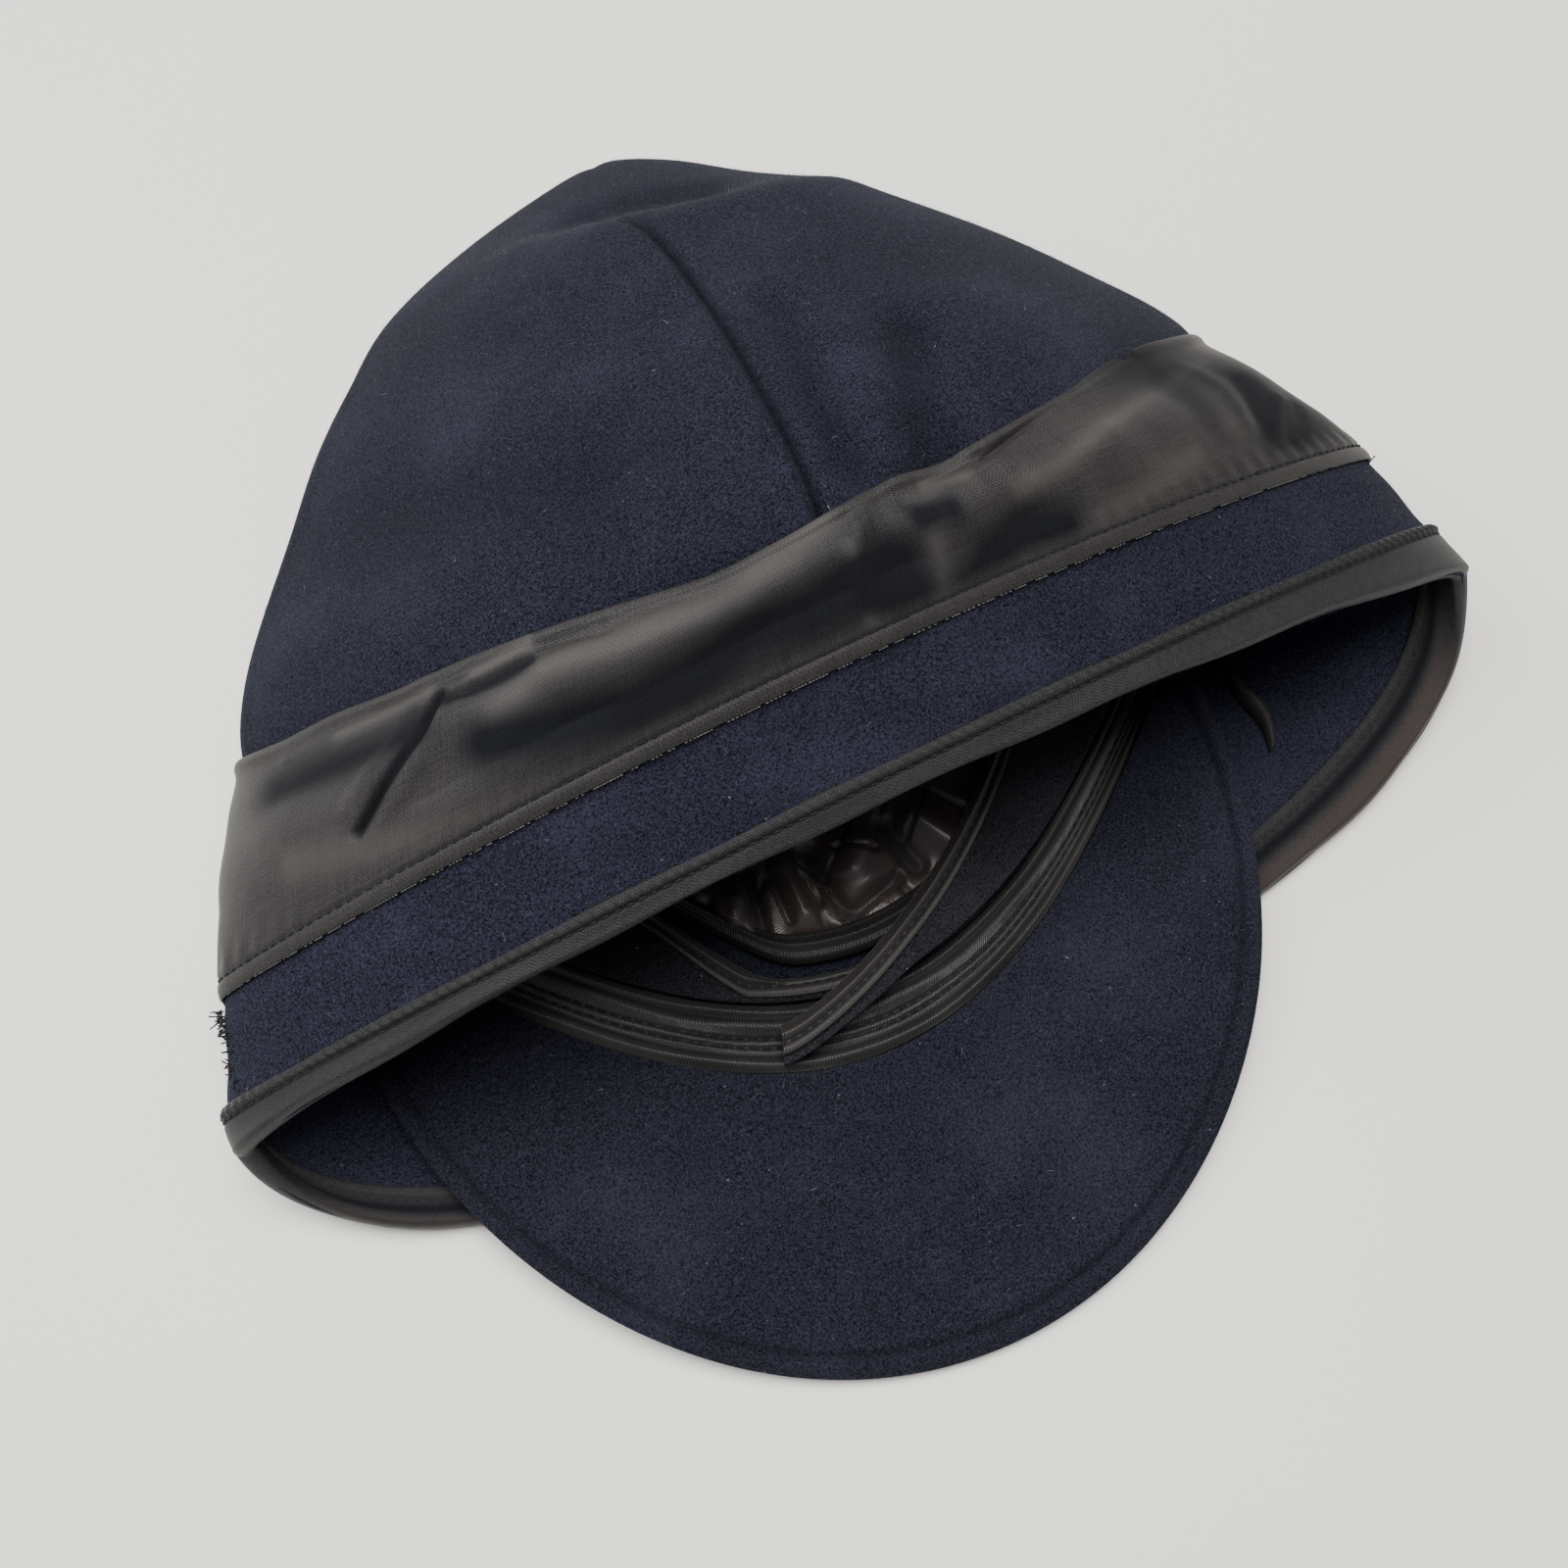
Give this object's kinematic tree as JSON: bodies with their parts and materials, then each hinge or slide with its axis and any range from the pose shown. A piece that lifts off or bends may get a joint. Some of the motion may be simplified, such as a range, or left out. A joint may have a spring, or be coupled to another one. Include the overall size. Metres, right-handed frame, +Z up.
{
  "type": "wool earflap cap",
  "caption": "Soft wool cap with a stiff peak and a turned-down wool ear band, lying on its front with its mouth open.",
  "frame": {"origin": "on the table, at the middle of the part's bounding box", "axes": "+Z up from the table the cap lies on, -Y out of the mouth and over the peak, +X to the cap's side"},
  "size_m": [0.2672, 0.267, 0.0888],
  "materials": {
    "crown_wool": "matt",
    "peak_wool": "matt",
    "band_wool": "matt",
    "strip_cloth": "satin",
    "binding_tape": "satin",
    "ribbon": "satin",
    "lining_satin": "glossy"
  },
  "bodies": {
    "root": {"crown_front_right": "crown_wool", "crown_front_left": "crown_wool", "crown_back_right": "crown_wool", "crown_back_left": "crown_wool", "peak_top_cover": "peak_wool", "peak_under_cover": "peak_wool", "sweatband": "ribbon", "inner_ear_band": "band_wool", "inner_ear_band_binding": "ribbon", "lining": "lining_satin", "lining_hem": "ribbon", "ear_band": "band_wool", "ear_band_binding": "binding_tape", "band_strip": "strip_cloth", "strip_fold": "strip_cloth"}
  },
  "joints": []
}
